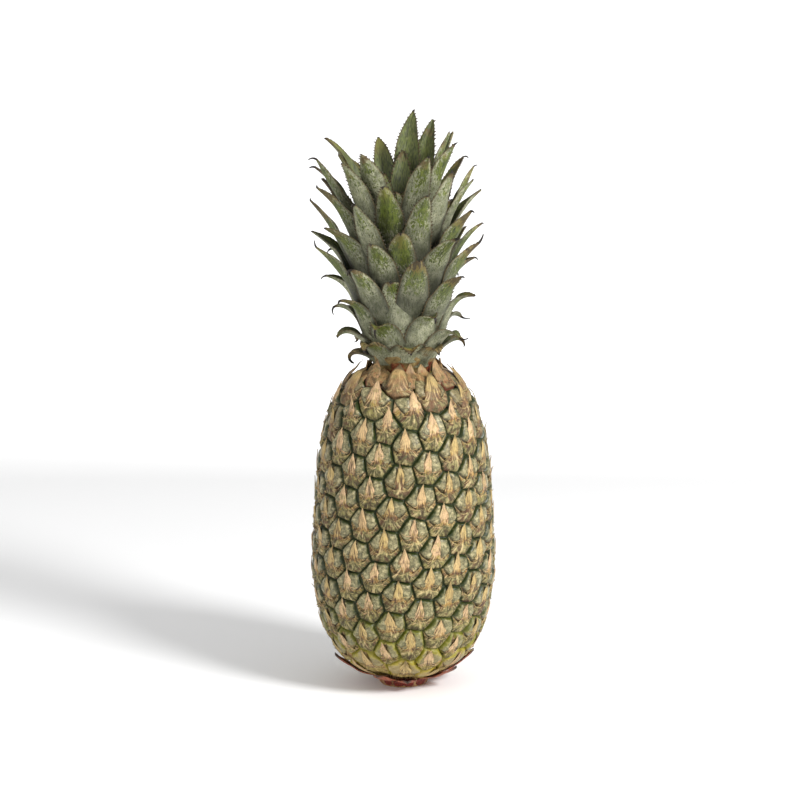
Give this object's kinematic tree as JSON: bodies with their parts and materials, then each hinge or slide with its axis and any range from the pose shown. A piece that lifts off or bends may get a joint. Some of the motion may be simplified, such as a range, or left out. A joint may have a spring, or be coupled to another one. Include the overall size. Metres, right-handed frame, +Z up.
{
  "type": "pineapple",
  "caption": "Whole fresh pineapple: a tall barrel of fused eyes with pointed bracts, a spiky leaf crown, and a short cut stalk it stands on.",
  "frame": {"origin": "centre of the stalk's flat cut face, which the fruit stands on", "axes": "+Z up the fruit to its crown, -Y towards the picture's camera, +X to its right"},
  "size_m": [0.1144, 0.1151, 0.3564],
  "materials": {
    "rind": "tough mottled rind, satin on the sepals, dry and papery on the bract tips",
    "leaf": "stiff fibrous leaf with a pale waxy bloom outside and a green inner face",
    "stalk": "dry fibrous cut stub with papery red-brown bracts"
  },
  "bodies": {
    "root": {"fruit": "rind", "crown": "leaf", "stalk": "stalk"}
  },
  "joints": []
}
